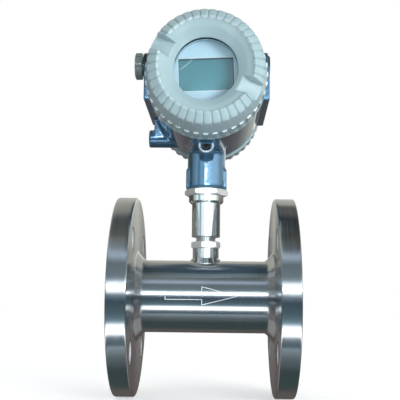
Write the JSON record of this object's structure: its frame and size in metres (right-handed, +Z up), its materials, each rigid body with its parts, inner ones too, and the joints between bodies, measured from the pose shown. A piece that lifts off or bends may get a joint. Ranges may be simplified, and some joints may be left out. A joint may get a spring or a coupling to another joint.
{
  "type": "liquid turbine flow meter",
  "caption": "Flanged liquid turbine flow meter with a rotor in its bore, a pickup stem and a swivelling display head with screwed covers.",
  "frame": {"origin": "centre of the inlet flange's raised face, on the pipe's axis", "axes": "+X along the flow from inlet to outlet, +Z up the stem, the display looks along -Y"},
  "size_m": [0.15, 0.1752, 0.3045],
  "materials": {
    "turned_steel": "turned stainless steel, fine circumferential tool marks",
    "guide_steel": "machined stainless steel",
    "hard_carbide": "ground carbide",
    "spring_steel": "oiled spring steel",
    "rotor_steel": "milled magnetic stainless steel",
    "polished_steel": "polished stainless steel",
    "soft_iron": "bare soft iron",
    "bobbin_plastic": "moulded natural plastic",
    "copper_wire": "enamelled copper wire",
    "plated_magnet": "nickel plate",
    "blue_paint": "glossy blue paint on cast aluminium",
    "cover_paint": "satin pale grey-green paint on cast aluminium",
    "black_rubber": "smooth black rubber",
    "window_glass": "clear toughened glass",
    "ring_aluminium": "turned aluminium",
    "bezel_plastic": "pale blue-white moulded plastic",
    "lcd_face": "blank liquid crystal display under a clear face",
    "circuit_board": "green solder mask",
    "standoff_brass": "plain turned brass",
    "zinc_screw": "zinc plated steel",
    "terminal_plastic": "moulded green plastic",
    "plug_plastic": "dark grey moulded plastic",
    "black_plug": "black moulded plastic"
  },
  "bodies": {
    "meter_body": {"inlet_flange": "turned_steel", "flow_tube": "turned_steel", "outlet_flange": "turned_steel", "inlet_guide": "guide_steel", "inlet_bearing": "hard_carbide", "inlet_thrust_pad": "hard_carbide", "inlet_retaining_ring": "spring_steel", "outlet_guide": "guide_steel", "outlet_bearing": "hard_carbide", "outlet_thrust_pad": "hard_carbide", "outlet_retaining_ring": "spring_steel", "pickup_boss": "polished_steel", "pickup_body": "polished_steel", "pole_piece": "soft_iron", "coil_bobbin": "bobbin_plastic", "coil_winding": "copper_wire", "pickup_magnet": "plated_magnet", "pickup_lock_nut": "polished_steel", "stem_sleeve": "polished_steel", "head_lock_nut": "polished_steel"},
    "turbine_wheel": {"rotor": "rotor_steel", "rotor_shaft": "hard_carbide"},
    "display_head": {"housing_body": "blue_paint", "front_cover_seal": "black_rubber", "rear_cover_seal": "black_rubber", "display_bezel": "bezel_plastic", "lcd_panel": "lcd_face", "display_board": "circuit_board", "display_standoffs": "standoff_brass", "main_board": "circuit_board", "main_board_standoffs": "standoff_brass", "board_screws": "zinc_screw", "terminal_block": "terminal_plastic", "terminal_screws": "zinc_screw", "conduit_plug": "plug_plastic", "conduit_plug_seal": "black_rubber", "blanking_plug": "black_plug", "cover_jam_screw": "zinc_screw"},
    "front_cap": {"front_cover": "cover_paint", "window_gasket": "black_rubber", "window_glass": "window_glass", "glass_retaining_ring": "ring_aluminium"},
    "rear_cap": {"rear_cover": "cover_paint"}
  },
  "joints": [
    {"name": "rotor_spin", "type": "hinge", "parent": "meter_body", "child": "turbine_wheel", "pos_m": [0.075, 0, 0], "axis": [1, 0, 0], "continuous": true},
    {"name": "head_swivel", "type": "hinge", "parent": "meter_body", "child": "display_head", "pos_m": [0.075, 0, 0.095], "axis": [0, 0, 1], "range_deg": [-175, 175]},
    {"name": "front_cover_off", "type": "slide", "parent": "display_head", "child": "front_cap", "axis": [0, -1, 0], "range_m": [0, 0.06]},
    {"name": "rear_cover_off", "type": "slide", "parent": "display_head", "child": "rear_cap", "axis": [0, 1, 0], "range_m": [0, 0.045]}
  ]
}
